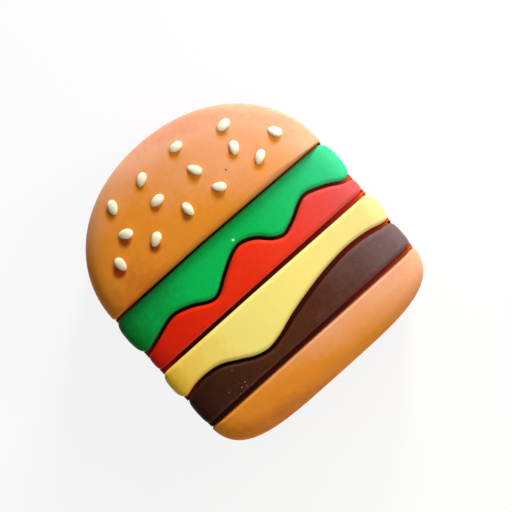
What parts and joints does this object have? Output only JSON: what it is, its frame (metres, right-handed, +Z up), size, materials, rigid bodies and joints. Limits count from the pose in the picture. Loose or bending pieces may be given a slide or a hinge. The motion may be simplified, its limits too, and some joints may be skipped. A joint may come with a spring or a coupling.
{
  "type": "novelty telephone",
  "caption": "Flip-open telephone shaped as a flat hamburger: layered relief lid with the earpiece, hinged over a base with keypad, microphone, hook switch and line jack.",
  "frame": {"origin": "centre of the footprint on the table, at the underside of the rubber feet", "axes": "+X along the burger's layers, +Y towards the top bun, +Z up, out of the relief"},
  "size_m": [0.112, 0.1222, 0.0448],
  "materials": {
    "shell_red": "satin moulded ABS",
    "panel_dark": "fine matt moulded ABS",
    "mat_rubber": "moulded silicone",
    "board_green": "solder-masked laminate",
    "component_black": "moulded epoxy",
    "screw_steel": "zinc plated",
    "ballast_iron": "raw plate",
    "black_plastic": "satin",
    "capsule_metal": "spun can",
    "boot_rubber": "matt",
    "contact_gold": "gold flashed",
    "spring_steel": "drawn wire",
    "pin_steel": "polished pin",
    "wire_red": "PVC insulation",
    "key_cream": "satin",
    "knob_cream": "satin",
    "bun_tan": "soft satin vinyl",
    "seed_cream": "soft satin",
    "lettuce_green": "soft satin vinyl",
    "tomato_red": "soft satin vinyl",
    "cheese_yellow": "soft satin vinyl",
    "patty_brown": "soft satin vinyl",
    "inner_cream": "fine matt"
  },
  "bodies": {
    "base": {"base_shell": "shell_red", "keypad_panel": "panel_dark", "keypad_mat": "mat_rubber", "circuit_board": "board_green", "board_components": "component_black", "board_screws": "screw_steel", "ballast_plate": "ballast_iron", "ringer": "black_plastic", "microphone": "capsule_metal", "microphone_boot": "boot_rubber", "line_jack": "black_plastic", "jack_contacts": "contact_gold", "hook_spring": "spring_steel", "hook_contacts": "contact_gold", "slide_switches": "black_plastic", "base_screws": "screw_steel", "rubber_feet": "boot_rubber", "hinge_pins": "pin_steel", "jack_wire": "wire_red", "ringer_wire": "wire_red", "microphone_wire": "wire_red", "switch_wires": "wire_red", "base_lead": "wire_red"},
    "lid": {"lid_shell": "shell_red", "top_bun": "bun_tan", "sesame_seeds": "seed_cream", "lettuce": "lettuce_green", "tomato": "tomato_red", "cheese": "cheese_yellow", "patty": "patty_brown", "bottom_bun": "bun_tan", "ingredient_screws": "screw_steel", "lid_inner_panel": "inner_cream", "lid_screws": "screw_steel", "receiver": "black_plastic", "receiver_gasket": "boot_rubber", "receiver_lead": "wire_red"},
    "plunger": {"hook_plunger": "knob_cream"},
    "ringer_slider": {"ringer_knob": "knob_cream"},
    "tone_slider": {"tone_knob": "knob_cream"},
    "button_1": {"key_1": "key_cream"},
    "button_2": {"key_2": "key_cream"},
    "button_3": {"key_3": "key_cream"},
    "button_4": {"key_4": "key_cream"},
    "button_5": {"key_5": "key_cream"},
    "button_6": {"key_6": "key_cream"},
    "button_7": {"key_7": "key_cream"},
    "button_8": {"key_8": "key_cream"},
    "button_9": {"key_9": "key_cream"},
    "button_star": {"key_star": "key_cream"},
    "button_0": {"key_0": "key_cream"},
    "button_hash": {"key_hash": "key_cream"},
    "button_redial": {"key_redial": "key_cream"},
    "button_flash": {"key_flash": "key_cream"}
  },
  "joints": [
    {"name": "lid_hinge", "type": "hinge", "parent": "base", "child": "lid", "pos_m": [0, -0.0561, 0.015], "axis": [1, 0, 0], "range_deg": [0, 120]},
    {"name": "hook_lift", "type": "slide", "parent": "base", "child": "plunger", "axis": [0, 0, 1], "range_m": [0, 0.003], "deforming": ["hook_spring"]},
    {"name": "ringer_slide", "type": "slide", "parent": "base", "child": "ringer_slider", "axis": [0, 1, 0], "range_m": [0, 0.003]},
    {"name": "tone_slide", "type": "slide", "parent": "base", "child": "tone_slider", "axis": [0, 1, 0], "range_m": [0, 0.003]},
    {"name": "press_1", "type": "slide", "parent": "base", "child": "button_1", "axis": [0, 0, -1], "range_m": [0, 0.0012], "stiffness_N_per_m": 250, "springref_m": -0.0008, "deforming": ["keypad_mat"]},
    {"name": "press_2", "type": "slide", "parent": "base", "child": "button_2", "axis": [0, 0, -1], "range_m": [0, 0.0012], "stiffness_N_per_m": 250, "springref_m": -0.0008, "deforming": ["keypad_mat"]},
    {"name": "press_3", "type": "slide", "parent": "base", "child": "button_3", "axis": [0, 0, -1], "range_m": [0, 0.0012], "stiffness_N_per_m": 250, "springref_m": -0.0008, "deforming": ["keypad_mat"]},
    {"name": "press_4", "type": "slide", "parent": "base", "child": "button_4", "axis": [0, 0, -1], "range_m": [0, 0.0012], "stiffness_N_per_m": 250, "springref_m": -0.0008, "deforming": ["keypad_mat"]},
    {"name": "press_5", "type": "slide", "parent": "base", "child": "button_5", "axis": [0, 0, -1], "range_m": [0, 0.0012], "stiffness_N_per_m": 250, "springref_m": -0.0008, "deforming": ["keypad_mat"]},
    {"name": "press_6", "type": "slide", "parent": "base", "child": "button_6", "axis": [0, 0, -1], "range_m": [0, 0.0012], "stiffness_N_per_m": 250, "springref_m": -0.0008, "deforming": ["keypad_mat"]},
    {"name": "press_7", "type": "slide", "parent": "base", "child": "button_7", "axis": [0, 0, -1], "range_m": [0, 0.0012], "stiffness_N_per_m": 250, "springref_m": -0.0008, "deforming": ["keypad_mat"]},
    {"name": "press_8", "type": "slide", "parent": "base", "child": "button_8", "axis": [0, 0, -1], "range_m": [0, 0.0012], "stiffness_N_per_m": 250, "springref_m": -0.0008, "deforming": ["keypad_mat"]},
    {"name": "press_9", "type": "slide", "parent": "base", "child": "button_9", "axis": [0, 0, -1], "range_m": [0, 0.0012], "stiffness_N_per_m": 250, "springref_m": -0.0008, "deforming": ["keypad_mat"]},
    {"name": "press_star", "type": "slide", "parent": "base", "child": "button_star", "axis": [0, 0, -1], "range_m": [0, 0.0012], "stiffness_N_per_m": 250, "springref_m": -0.0008, "deforming": ["keypad_mat"]},
    {"name": "press_0", "type": "slide", "parent": "base", "child": "button_0", "axis": [0, 0, -1], "range_m": [0, 0.0012], "stiffness_N_per_m": 250, "springref_m": -0.0008, "deforming": ["keypad_mat"]},
    {"name": "press_hash", "type": "slide", "parent": "base", "child": "button_hash", "axis": [0, 0, -1], "range_m": [0, 0.0012], "stiffness_N_per_m": 250, "springref_m": -0.0008, "deforming": ["keypad_mat"]},
    {"name": "press_redial", "type": "slide", "parent": "base", "child": "button_redial", "axis": [0, 0, -1], "range_m": [0, 0.0012], "stiffness_N_per_m": 250, "springref_m": -0.0008, "deforming": ["keypad_mat"]},
    {"name": "press_flash", "type": "slide", "parent": "base", "child": "button_flash", "axis": [0, 0, -1], "range_m": [0, 0.0012], "stiffness_N_per_m": 250, "springref_m": -0.0008, "deforming": ["keypad_mat"]}
  ],
  "couplings": [
    {"joint": "hook_lift", "follows": "lid_hinge", "m_per_rad": 0.0014}
  ]
}
